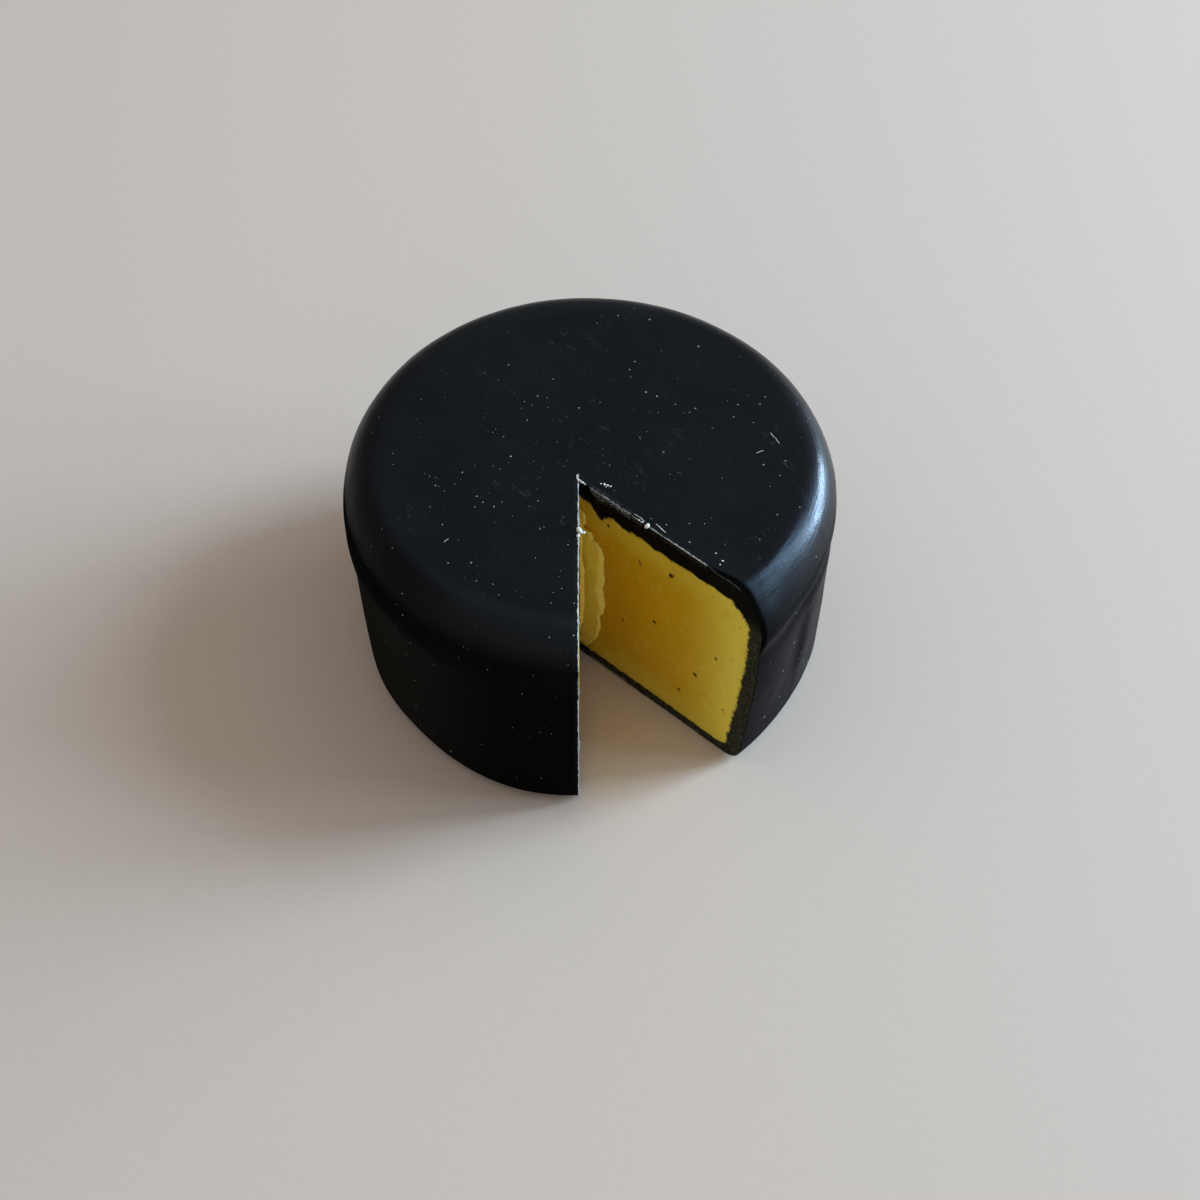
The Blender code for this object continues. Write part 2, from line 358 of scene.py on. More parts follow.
BREAK_LINE = (                # height, reach from the apex, and how far it stands out, in mm
    (0.0, 2.0, 0.2), (4.0, 3.0, 0.4), (8.0, 5.4, 0.6), (12.0, 6.4, 0.7), (15.5, 6.0, 0.6),
    (17.0, 7.0, 0.8), (20.0, 7.6, 1.2), (24.5, 7.0, 1.4), (28.0, 7.6, 1.4), (31.0, 7.0, 1.2),
    (33.8, 7.2, 1.0), (35.3, 6.8, 0.9), (36.2, 6.4, 0.8), (37.0, 5.3, 0.7), (37.6, 4.2, 0.7),
    (39.3, 3.7, 0.6), (39.5, 1.6, 0.3), (40.5, 2.2, 0.8), (43.4, 2.1, 0.6), (43.9, 0.7, 0.3),
    (51.5, 0.4, 0.1),
)
BREAK_SLOPE = 0.5             # the broken cheese rises from the apex no more steeply than this
BREAK_STEP = (-0.16 * MM, 0.20 * MM)   # it steps down to the cut cheese between these
BREAK_BEVEL = (0.35, -1.1)    # and is bevelled between these shares of its height
BREAK_LEAST = 0.25
CHEESE_GROWS = (0.05, 0.10)   # shares of the height between which the broken cheese grows
CHEESE_FADE = (0.84, 0.90)    # and fades out towards the wax
KNIFE_WAVES = 0.10            # mm
KNIFE_ALONG = 0.16 / MM
KNIFE_UP = 0.10 / MM
KNIFE_SHIFT = 1.1
PIT_SHIFT = 1.7 * MM          # the left face has its pits a little further out
PITS = (                      # reach from the apex, height, radius and depth in mm
    (7.8, 43.9, 0.38, 0.6), (16.1, 39.9, 0.24, 0.5), (16.3, 39.3, 0.26, 0.6), (16.5, 38.8, 0.20, 0.4),
    (24.2, 41.7, 0.42, 0.9), (24.6, 41.9, 0.36, 0.8), (24.1, 41.2, 0.26, 0.5), (25.1, 42.5, 0.20, 0.4),
    (42.1, 40.4, 0.2, 0.3), (40.6, 38.9, 0.16, 0.3), (20.5, 25.0, 0.45, 0.5), (31.5, 17.5, 0.5, 0.6),
    (12.0, 19.0, 0.35, 0.4), (36.5, 26.5, 0.4, 0.4), (27.5, 9.5, 0.4, 0.5), (39.0, 12.5, 0.3, 0.4),
)


def break_share(past):
    """Where the cheese broke instead of cutting: 1 there, 0 where the knife cut it."""
    return 1.0 - smooth_step(*BREAK_STEP, past)


def past_break(along, height, side):
    """How far beyond the edge of the broken cheese, and how far that stands out there in mm."""
    line = np.array(BREAK_LINE)
    flipped = (height if side > 0 else HEIGHT - height) / MM
    where = np.stack([height, along, 0.0 * height + side], axis=-1)
    edge = np.interp(flipped, line[:, 0], line[:, 1])
    edge = edge + rough_field(where, ((0.20, 2.6, (side, 4, 1), 1), (0.12, 0.8, NO_SHIFT, 1)))
    return along - edge * MM, np.interp(flipped, line[:, 0], line[:, 2])


def cheese_relief(along, height, side):
    """How far the cheese stands out of a knife cut, for arrays of reach and height."""
    where = np.stack([along, height, 0.0 * along + 0.01 * side], axis=-1)
    past, most = past_break(along, height, side)
    broken = break_share(past)
    crags = rough_field(where * (1.0, 0.7, 1.0), ((0.25, 3.4, (1, 2, side), 1),))
    crags += rough_field(where, ((0.10, 1.3, (8, 1, side), 3),))
    bevel_from, bevel_to = BREAK_BEVEL
    sloped = np.maximum(BREAK_LEAST, smooth_step(bevel_from * MM * most, bevel_to * MM * most, past))
    stands = most * sloped * (1.0 - np.exp(-BREAK_SLOPE / most * along / MM))
    stands += crags * smooth_step(0.0, 2.5 * MM, along)
    level = height / HEIGHT
    in_cheese = smooth_step(*CHEESE_GROWS, level) * (1.0 - smooth_step(*CHEESE_FADE, level))
    knife = np.sin(KNIFE_ALONG * along + KNIFE_SHIFT * side) * np.cos(KNIFE_UP * height + side)
    knife = KNIFE_WAVES * knife + rough_field(where * (0.35, 1.6, 1.0), ((0.045, 2.0, (4, 4, side), 1),))
    knife += rough_field(where, ((0.04, 0.9, (0, 6, side), 2),))
    relief = in_cheese * broken * stands + (1.0 - broken) * knife * smooth_step(0.0, 3.0 * MM, along)
    return (relief - pit_depth(along, height, side)) * MM


def pit_depth(along, height, side):
    """How deep the small holes in the cheese are, in mm."""
    depth = 0.0 * along
    for at, up, wide, deep in PITS:
        shift = PIT_SHIFT * (side < 0)
        spot = np.hypot(along - at * MM - shift, height - (up if side > 0 else HEIGHT / MM - up) * MM)
        depth += deep * np.exp(-(spot / (wide * MM)) ** 4)
    return depth


# Meshes


def mesh_from(name, points, faces, materials, face_slots=None, attributes=None, sharp=40.0):
    """A smooth-shaded object from points and faces, with its place in its mesh."""
    mesh = bpy.data.meshes.new(name)
    mesh.from_pydata([tuple(p) for p in points], [], [tuple(int(i) for i in f) for f in faces])
    for material in materials:
        mesh.materials.append(material)
    if face_slots is not None:
        mesh.polygons.foreach_set("material_index", np.asarray(face_slots, dtype=np.int32))
    for key, values in (attributes or {}).items():
        attribute = mesh.attributes.new(key, "FLOAT", "POINT")
        attribute.data.foreach_set("value", np.asarray(values, dtype=np.float32))
    mesh.validate()
    mesh.update()
    mesh.shade_smooth()
    mesh.set_sharp_from_angle(angle=math.radians(sharp))
    thing = bpy.data.objects.new(name, mesh)
    bpy.context.scene.collection.objects.link(thing)
    return thing


def grid_faces(index, flip=False):
    """Quads over a grid of point numbers; where a side has shrunk to a point, triangles."""
    a, b, c, d = index[:-1, :-1], index[1:, :-1], index[1:, 1:], index[:-1, 1:]
    quads = np.stack([a, d, c, b] if flip else [a, b, c, d], axis=-1).reshape(-1, 4)
    faces = []
    for quad in quads:
        corners = list(dict.fromkeys(int(i) for i in quad))
        if len(corners) > 2:
            faces.append(corners)
    return faces


def column_turns(coarse):
    """Directions from the right cut round to the left one, closer together next to the cuts."""
    start, end = RIGHT_CUT_TURN, FULL_TURN + LEFT_CUT_TURN
    near = np.radians(EDGE_DEGREES)
    middle = np.linspace(start + near[-1], end - near[-1], coarse)[1:-1]
    return np.concatenate([start + near, middle, end - near[::-1]])


def face_relief_at(points, side):
    """The relief of a cut face at points on its plane."""
    return cheese_relief(reach_of(points), points[..., 2], side)


def into_notch(side):
    """The direction out of a cut face; side is 1 for the right cut and -1 for the left."""
    turn = RIGHT_CUT_TURN if side > 0 else LEFT_CUT_TURN
    return -side * np.array([math.cos(turn), math.sin(turn), 0.0])


def wax_coat(skin_finish, cut_finish):
    """The coat: its outer and inner faces, and the bands that the two cuts leave of it."""
    turns = column_turns(COARSE_TURNS)
    outer = shell(turns, FLAT_RINGS)
    normals = grid_normals(outer)
    relief = wax_relief(outer, normals)
    on_base = outer[..., 2] < 1e-6
    relief[on_base] = 0.0
    moved = normals * relief[..., None]
    ends = (0, len(turns) - 1)
    for end, side in zip(ends, (1, -1)):
        plane = into_notch(side)
        moved[end] -= plane * (moved[end] @ plane)[:, None]
    moved[:, 0], moved[:, -1] = moved[0, 0] * 0.0, (0.0, 0.0, float(relief[0, -1]))
    outer = outer + moved
    outer[..., 2] = np.maximum(outer[..., 2], 0.0)
    inner = shell(turns, FLAT_RINGS, WAX_SIDE, WAX_TOP, WAX_BASE)
    smear_ends(inner)

    columns, rows = outer.shape[:2]
    points = [outer.reshape(-1, 3), inner.reshape(-1, 3)]
    outer_index = np.arange(columns * rows).reshape(columns, rows)
    inner_index = outer_index + columns * rows
    for index in (outer_index, inner_index):
        index[:, 0], index[:, -1] = index[0, 0], index[0, -1]
    faces = grid_faces(outer_index) + grid_faces(inner_index, flip=True)
    slots = [0] * len(grid_faces(outer_index)) + [1] * len(grid_faces(inner_index))
    across = [np.zeros(columns * rows), np.ones(columns * rows)]
    pressed = [pressed_share(outer).reshape(-1), np.zeros(columns * rows)]
    count = 2 * columns * rows
    for end, side in zip(ends, (1, -1)):
        share = (np.arange(1, BAND_STEPS) / BAND_STEPS)[:, None, None]
        band = outer[end][None] * (1.0 - share) + inner[end][None] * share
        lumps = rough_field(band, ((0.08, 1.5, (side, 2, 2), 2), (0.03, 0.5, NO_SHIFT, 1)))
        lumps = lumps * np.minimum(1.0, 4.0 * (1.0 - share[..., 0]))
        rolled = BAND_ROLLED * np.sin(math.pi * share[..., 0])
        stands = (lumps - rolled) * smooth_step(0.0, 1.5 * MM, reach_of(band)) * MM
        band = band + into_notch(side) * stands[..., None]
        index = np.arange(band.shape[0] * rows).reshape(band.shape[:2]) + count
        count += index.size
        points.append(band.reshape(-1, 3))
        across.append(np.repeat(share[:, 0, 0], rows))
        pressed.append(np.zeros(index.size))
        index = np.concatenate([outer_index[end][None], index, inner_index[end][None]])
        if side > 0:
            shared = index[:, [0, -1]].copy()
        index[:, [0, -1]] = shared
        new = grid_faces(index, flip=side > 0)
        faces += new
        slots += [1] * len(new)
    coat = mesh_from("wax_coat_skin", np.concatenate(points), faces, [skin_finish, cut_finish],
                     slots, {"across_band": np.concatenate(across),
                             "pressed": np.concatenate(pressed)})
    return coat, outer


SMEAR_FADES = (1.0, 1.0, 1.0, 0.9, 0.6, 0.3, 0.1)      # from the cut's own column onwards
SMEAR_GROWS = (0.2 * MM, 1.6 * MM)                     # reaches from the apex


def smear_ends(grid):
    """Drags the columns next to both cuts in over the cheese, less and less away from the cut."""
    for column, weight in enumerate(SMEAR_FADES):
        grid[column] = smeared(grid[column], 1, weight)
        grid[-1 - column] = smeared(grid[-1 - column], -1, weight)


def smeared(edge, side, weight):
    """Moves a section's points in over the cheese by the smear, along their own plane."""
    tangent = np.gradient(edge, axis=0)
    plane = into_notch(side)
    inward = np.cross(tangent, plane) * side
    inward /= np.maximum(np.linalg.norm(inward, axis=-1, keepdims=True), 1e-12)
    middle = edge.mean(axis=0)
    inward *= np.sign(((middle - edge) * inward).sum(axis=-1, keepdims=True))
    fade = smooth_step(*SMEAR_GROWS, reach_of(edge))
    return edge + inward * (weight * smear(edge) * fade)[:, None]


def resampled(points, count):
    """A line of points with a given number of points, evenly spaced along it."""
    step = np.concatenate([[0.0], np.cumsum(np.linalg.norm(np.diff(points, axis=0), axis=1))])
    at = np.linspace(0.0, step[-1], count)
    return np.stack([np.interp(at, step, points[:, k]) for k in range(3)], axis=1)


def patch_between(base, rim, top, post):
    """Points that fill the four-sided patch between its base, rim, top and post at the apex."""
    u = np.linspace(0.0, 1.0, len(base))[:, None, None]
    v = np.linspace(0.0, 1.0, len(rim))[None, :, None]
    ruled_up = base[:, None] * (1.0 - v) + top[:, None] * v
    ruled_out = post[None] * (1.0 - u) + rim[None] * u
    corners = ((base[0] * (1.0 - v) + top[0] * v) * (1.0 - u) + (base[-1] * (1.0 - v) + top[-1] * v) * u)
    return ruled_up + ruled_out - corners


HAIR = 0.03 * MM              # the hidden cheese stays this far inside the wax
POST_FROM_WAX = 9.0           # how far from wax the line counts on which the cuts meet, in mm
EDGE_SUNK = 0.10 * MM         # next to the wax the cut cheese lies lower
EDGE_SUNK_WIDE = 0.5 * MM
RELIEF_GROWS = 0.6 * MM       # from the edge, before the relief is at its full height


def cheese_body(finish):
    """The cheese: its two cut faces in full detail, and the rest, which the wax hides."""
    turns = column_turns(HIDDEN_TURNS)
    hidden = shell(turns, FLAT_RINGS, WAX_SIDE + HAIR, WAX_TOP + HAIR, WAX_BASE + HAIR)
    rings = FLAT_RINGS
    smear_ends(hidden)
    lines = list(hidden)
    base = [resampled(line[:rings + 1], FACE_ACROSS) for line in lines]
    rim = [resampled(line[rings:-rings], FACE_UP) for line in lines]
    top = [resampled(line[-rings - 1:][::-1], FACE_ACROSS) for line in lines]
    loops = np.array([np.concatenate([b, r[1:-1], t[::-1]]) for b, r, t in zip(base, rim, top)])
    columns, rows = loops.shape[:2]
    index = np.arange(columns * rows).reshape(columns, rows)
    index[:, 0], index[:, -1] = index[0, 0], index[0, -1]
    points, depth = [loops.reshape(-1, 3)], [np.zeros(columns * rows)]
    broken = [np.zeros(columns * rows), np.ones(FACE_UP - 2)]
    pits = [np.zeros(columns * rows + FACE_UP - 2)]
    faces = grid_faces(index)
    post_line = np.linspace(base[0][0], top[0][0], FACE_UP)
    post_index = np.concatenate([[index[0, 0]], np.arange(FACE_UP - 2) + columns * rows, [index[0, -1]]])
    points.append(post_line[1:-1])
    depth.append(np.full(FACE_UP - 2, POST_FROM_WAX))
    count = columns * rows + FACE_UP - 2
    for end, side in ((0, 1), (columns - 1, -1)):
        patch = patch_between(base[end], rim[end], top[end], post_line)
        inner = patch[1:-1, 1:-1]
        edge_gap = np.min([np.linalg.norm(inner - base[end][1:-1, None], axis=-1),
                           np.linalg.norm(inner - top[end][1:-1, None], axis=-1),
                           np.linalg.norm(inner - rim[end][None, 1:-1], axis=-1)], axis=0)
        sunk = EDGE_SUNK * (1.0 - smooth_step(0.0, EDGE_SUNK_WIDE, edge_gap))
        raised = face_relief_at(inner, side) * smooth_step(0.0, RELIEF_GROWS, edge_gap) - sunk
        inner = inner + into_notch(side) * raised[..., None]
        numbers = np.arange(inner.shape[0] * inner.shape[1]).reshape(inner.shape[:2]) + count
        count += numbers.size
        points.append(inner.reshape(-1, 3))
        depth.append((edge_gap / MM).reshape(-1))
        along, height = reach_of(patch[1:-1, 1:-1]), patch[1:-1, 1:-1, 2]
        broken.append(break_share(past_break(along, height, side)[0]).reshape(-1))
        pits.append(pit_depth(along, height, side).reshape(-1))
        whole = np.empty((FACE_ACROSS, FACE_UP), dtype=int)
        whole[1:-1, 1:-1] = numbers
        whole[:, 0] = index[end, :FACE_ACROSS]
        whole[-1, :] = index[end, FACE_ACROSS - 1:FACE_ACROSS + FACE_UP - 1]
        whole[:, -1] = index[end, ::-1][:FACE_ACROSS]
        whole[0, :] = post_index
        faces += grid_faces(whole, flip=side < 0)
    return mesh_from("cheese_body", np.concatenate(points), faces, [finish],
                     attributes={"from_wax": np.concatenate(depth), "broken": np.concatenate(broken),
                                 "pit": np.concatenate(pits)}, sharp=60.0)


# Node helpers


def nodes_of(tree):
    """A function that adds a node to a tree, with its settings and its sockets' values."""
    def add(kind, inputs=None, **settings):
        node = tree.nodes.new(kind)
        for key, value in settings.items():
            setattr(node, key, value)
        for key, value in (inputs or {}).items():
            if isinstance(value, bpy.types.NodeSocket):
                tree.links.new(value, node.inputs[key])
            else:
                node.inputs[key].default_value = value
        return node
    return add


def new_group(name, kind, inputs, outputs):
    """A node group with named sockets; an input is a number, or its socket's type."""
    tree = bpy.data.node_groups.new(name, kind)
    for key, value in inputs.items():
        socket = {float: "NodeSocketFloat", int: "NodeSocketInt"}.get(type(value), value)
        item = tree.interface.new_socket(key, in_out="INPUT", socket_type=socket)
        if value is not socket:
            item.default_value = value
    for key, socket in outputs.items():
        tree.interface.new_socket(key, in_out="OUTPUT", socket_type=socket)
    add = nodes_of(tree)
    return tree, add, add("NodeGroupInput").outputs, add("NodeGroupOutput").inputs


def values(*names):
    """Outputs of a group that are plain numbers."""
    return dict.fromkeys(names, "NodeSocketFloat")


def noisy(add, scale, detail=2.0, roughness=0.5, distortion=0.0, place=None):
    """A noise texture's value, about 0 to 1, on Object coordinates or at a given place."""
    if place is None:
        place = add("ShaderNodeTexCoord").outputs["Object"]
    inputs = {"Vector": place, "Scale": scale, "Detail": detail, "Roughness": roughness,
              "Distortion": distortion}
    return add("ShaderNodeTexNoise", inputs).outputs["Fac"]


def math_chain(add):
    """Short forms of the Math and Map Range nodes."""
    def calc(operation, first, second=None, third=None, clamp=False):
        inputs = {0: first}
        if second is not None:
            inputs[1] = second
        if third is not None:
            inputs[2] = third
        return add("ShaderNodeMath", inputs, operation=operation, use_clamp=clamp).outputs[0]

    def ramp(value, low, high, start=0.0, end=1.0):
        return add("ShaderNodeMapRange", {"Value": value, "From Min": low, "From Max": high,
                                          "To Min": start, "To Max": end},
                   interpolation_type="SMOOTHSTEP").outputs[0]
    return calc, ramp


DOT_SMALLEST = 0.05           # a dot's radius in its cell, and how much more the largest has
DOT_LARGER = 0.16
STROKE_TURN = (0.2, 0.1, 0.75)
STROKE_LONG = (1.0, 4.5, 1.0)


def speckle_group():
    """Fine dust and scuffs: a mask of tiny dots and short strokes that lie at random."""
    tree, add, given, result = new_group("dust_and_scuffs", "ShaderNodeTree",
                                         {"Dot Size": 0.0011, "Dots": 0.14, "Scuffs": 0.30},
                                         values("Dots", "Scuffs", "Clouds"))
    calc, ramp = math_chain(add)
    place = add("ShaderNodeTexCoord").outputs["Object"]
    cells = add("ShaderNodeTexVoronoi", {"Vector": place, "Randomness": 1.0,
                                         "Scale": calc("DIVIDE", 1.0, given["Dot Size"])})
    chances = add("ShaderNodeSeparateColor", {0: cells.outputs["Color"]}).outputs
    shown = calc("LESS_THAN", chances[0], given["Dots"])
    reach = calc("MULTIPLY_ADD", calc("POWER", chances[1], 3.0), DOT_LARGER, DOT_SMALLEST)
    dots = calc("MULTIPLY", calc("LESS_THAN", cells.outputs["Distance"], reach), shown)
    dots = calc("MULTIPLY", dots, ramp(noisy(add, 75.0, 3.0), 0.40, 0.58))
    tree.links.new(dots, result["Dots"])
    drawn = add("ShaderNodeMapping", {"Vector": place, "Rotation": STROKE_TURN, "Scale": STROKE_LONG},
                vector_type="TEXTURE").outputs[0]
    strokes = ramp(noisy(add, 800.0, 5.0, 0.75, 0.8, drawn), 0.54, 0.72)
    worn = ramp(noisy(add, 110.0, distortion=0.6), 0.53, 0.68)
    tree.links.new(calc("MULTIPLY", calc("MULTIPLY", strokes, worn), given["Scuffs"]), result["Scuffs"])
    tree.links.new(ramp(noisy(add, 42.0, 4.0, 0.62), 0.36, 0.68), result["Clouds"])
    return tree


RIGHT_WHITENED = (            # from and to, as reaches from the apex in mm, how strongly, and how frayed
    (-0.4, 2.0, 1.0, 0.3), (2.6, 14.0, 0.5, 1.0), (13.8, 17.2, 0.8, 0.3), (18.2, 33.6, 1.0, 0.12),
    (33.4, 42.0, 0.10, 0.0),
)
LEFT_WHITENED = ((-1.8, 43.0, 1.0, 0.2), (43.0, 60.0, 0.45, 0.2))
SPAN_FADE = 0.8               # each stretch fades in and out over this length, in mm


def knife_edge_group():
    """Where the wax whitened next to a knife cut: a ragged line of a width in millimetres."""
    tree, add, given, result = new_group("whitened_knife_edge", "ShaderNodeTree",
                                         {"Width": 0.14, "Ragged": 0.7, "Fringe": 1.3},
                                         values("Line", "Haze"))
    calc, ramp = math_chain(add)
    away = add("ShaderNodeVectorMath", {0: add("ShaderNodeTexCoord").outputs["Object"],
                                        1: (APEX[0], APEX[1] - APEX_LEAN, 0.0)}, operation="SUBTRACT")
    ragged = calc("MULTIPLY", given["Ragged"], calc("MULTIPLY_ADD", noisy(add, 900.0, 3.0), 6.0, -3.2))
    limit = calc("MULTIPLY", given["Width"], calc("ADD", 1.0, ragged))
    patchy = ramp(noisy(add, 160.0), 0.30, 0.50, 0.45, 1.0)
    grains = ramp(noisy(add, 2400.0), 0.43, 0.61)
    lean = APEX_LEAN / HEIGHT
    lines, hazes = [], []
    for turn, side, spans in ((RIGHT_CUT_TURN, 1.0, RIGHT_WHITENED), (LEFT_CUT_TURN, -1.0, LEFT_WHITENED)):
        out = Vector((math.cos(turn), math.sin(turn), -lean * math.sin(turn))) * side
        run = Vector((math.sin(turn), -math.cos(turn), lean * math.cos(turn)))
        across, along = [add("ShaderNodeVectorMath", {0: away.outputs[0], 1: way},
                             operation="DOT_PRODUCT").outputs["Value"] for way in (out, run)]
        along = calc("DIVIDE", along, MM)
        gap = calc("ABSOLUTE", calc("DIVIDE", across, MM))
        strong, frayed = 0.0, 0.0
        for start, end, most, fringe in spans:
            within = calc("MULTIPLY", ramp(along, start, start + SPAN_FADE),
                          ramp(along, end, end - SPAN_FADE))
            strong = calc("MAXIMUM", strong, calc("MULTIPLY", within, most))
            frayed = calc("MAXIMUM", frayed, calc("MULTIPLY", within, fringe))
        line = calc("MULTIPLY", calc("LESS_THAN", gap, limit), strong)
        lines.append(calc("MULTIPLY", line, patchy))
        near = calc("MULTIPLY", ramp(gap, given["Fringe"], 0.0), frayed)
        hazes.append(calc("MULTIPLY", near, grains))
    tree.links.new(calc("MAXIMUM", *lines), result["Line"])
    tree.links.new(calc("MAXIMUM", *hazes), result["Haze"])
    return tree


def grain_group():
    """A height for the fine surface of wax or cheese, from two sizes of noise."""
    tree, add, given, result = new_group("fine_grain", "ShaderNodeTree",
                                         {"Grain": 0.0006, "Lumps": 0.004, "Fineness": 0.35},
                                         values("Height", "Mottle"))
    calc, ramp = math_chain(add)
    fine = noisy(add, calc("DIVIDE", 1.0, given["Grain"]), 3.0, 0.6)
    broad = noisy(add, calc("DIVIDE", 1.0, given["Lumps"]), 3.0)
    tree.links.new(calc("ADD", calc("MULTIPLY", fine, given["Fineness"]), broad), result["Height"])
    tree.links.new(ramp(broad, 0.30, 0.70), result["Mottle"])
    return tree


def place_group():
    """Where on the round a point is, and fine streaks that run round it as a brush leaves them."""
    tree, add, given, result = new_group(
        "place_on_round", "ShaderNodeTree", {"Streak Length": 7.0, "Streaks": 1100.0},
        values("Height", "Radius", "Rightward", "Leftward", "Backward", "Brushed"))
    calc, ramp = math_chain(add)
    x, y, z = add("ShaderNodeSeparateXYZ", {0: add("ShaderNodeTexCoord").outputs["Object"]}).outputs
    radius = calc("SQRT", calc("ADD", calc("MULTIPLY", x, x), calc("MULTIPLY", y, y)))
    round_it = calc("DIVIDE", calc("MULTIPLY", calc("ARCTAN2", y, x), RADIUS), given["Streak Length"])
    unrolled = add("ShaderNodeCombineXYZ", {0: round_it, 1: z, 2: radius}).outputs[0]
    for key, value in (("Height", z), ("Radius", radius),
                       ("Brushed", noisy(add, given["Streaks"], place=unrolled)),
                       ("Rightward", ramp(x, 4.0 * MM, 32.0 * MM)),
                       ("Leftward", ramp(x, -14.0 * MM, -42.0 * MM)),
                       ("Backward", ramp(y, 4.0 * MM, 34.0 * MM))):
        tree.links.new(value, result[key])
    return tree


def new_finish(name):
    """A material with its tree's adder and its Principled shader."""
    material = bpy.data.materials.new(name)
    material.use_nodes = True
    tree = material.node_tree
    return material, tree, nodes_of(tree), tree.nodes["Principled BSDF"]


def mixed(add, share, first, second):
    """One colour over another by a mask."""
    node = add("ShaderNodeMix", {0: share}, data_type="RGBA")
    tree = node.id_data
    for socket, colour in ((node.inputs[6], first), (node.inputs[7], second)):
        if isinstance(colour, bpy.types.NodeSocket):
            tree.links.new(colour, socket)
        else:
            socket.default_value = (*colour, 1.0)
    return node.outputs[2]


def layered(add, colour, layers):
    """A colour with others laid over it, each by a mask and by how fully the mask covers."""
    for mask, most, over in layers:
        share = add("ShaderNodeMath", {0: mask, 1: most}, operation="MULTIPLY").outputs[0]
        colour = mixed(add, share, colour, over)
    return colour


def placed(add, tree, **inputs):
    """The outputs of a node group in a material, with its own values for some inputs."""
    named = {key.replace("_", " "): value for key, value in inputs.items()}
    return add("ShaderNodeGroup", named, node_tree=tree).outputs


def carried(add, name):
    """A value that a mesh carries at its points."""
    return add("ShaderNodeAttribute", attribute_name=name).outputs["Fac"]


def bumped(add, height, distance, strength):
    """A normal from a height."""
    return add("ShaderNodeBump", {"Height": height, "Distance": distance, "Strength": strength}).outputs[0]


WAX_BLACK = (0.0046, 0.0045, 0.0050)
WAX_BLOOM = (0.0080, 0.0082, 0.0092)
# Painted sheen: the upper shoulder lighter, less at the right and hardly at all at the left
WAX_RIM_SHEEN = (0.0150, 0.0154, 0.0160)
# Painted sheen: the right flank below the crease a little lighter and bluer, for the bright surroundings
# reflected there
WAX_FLANK_SHEEN = (0.0060, 0.0056, 0.0062)
# Painted light: the left side below the crease lighter, for the light that falls on it there
WAX_LEFT_LIT = (0.0165, 0.0158, 0.0140)
# Painted shade: the side below the crease, away from the right flank, darker and warmer than the top
WAX_LOW_SHADE = (0.0046, 0.0044, 0.0039)
# Painted shade: the pressed wax beside the right cut nearly black, as if turned away from the windows
WAX_PRESSED_SHADE = (0.0026, 0.0026, 0.0020)
# Painted light colour: every reflection on the wax tinted blue, for a cool window
WAX_REFLECTION_TINT = (0.62, 0.82, 1.0)
WAX_WHITENED = (0.66, 0.70, 0.72)
WAX_SCUFFED = (0.085, 0.105, 0.120)
CRUMB_PALE = (0.84, 0.81, 0.72)


SIDE_WITHOUT_SCUFFS = 0.8       # how far the scuffs fade on the side below the shoulder
RIM_SHINE_LOST = 0.55           # how much shine the rim loses at the back and the left
TOP_SHINE = 0.16
RIGHT_SHINE = 0.20
LOW_SHINE = 0.008


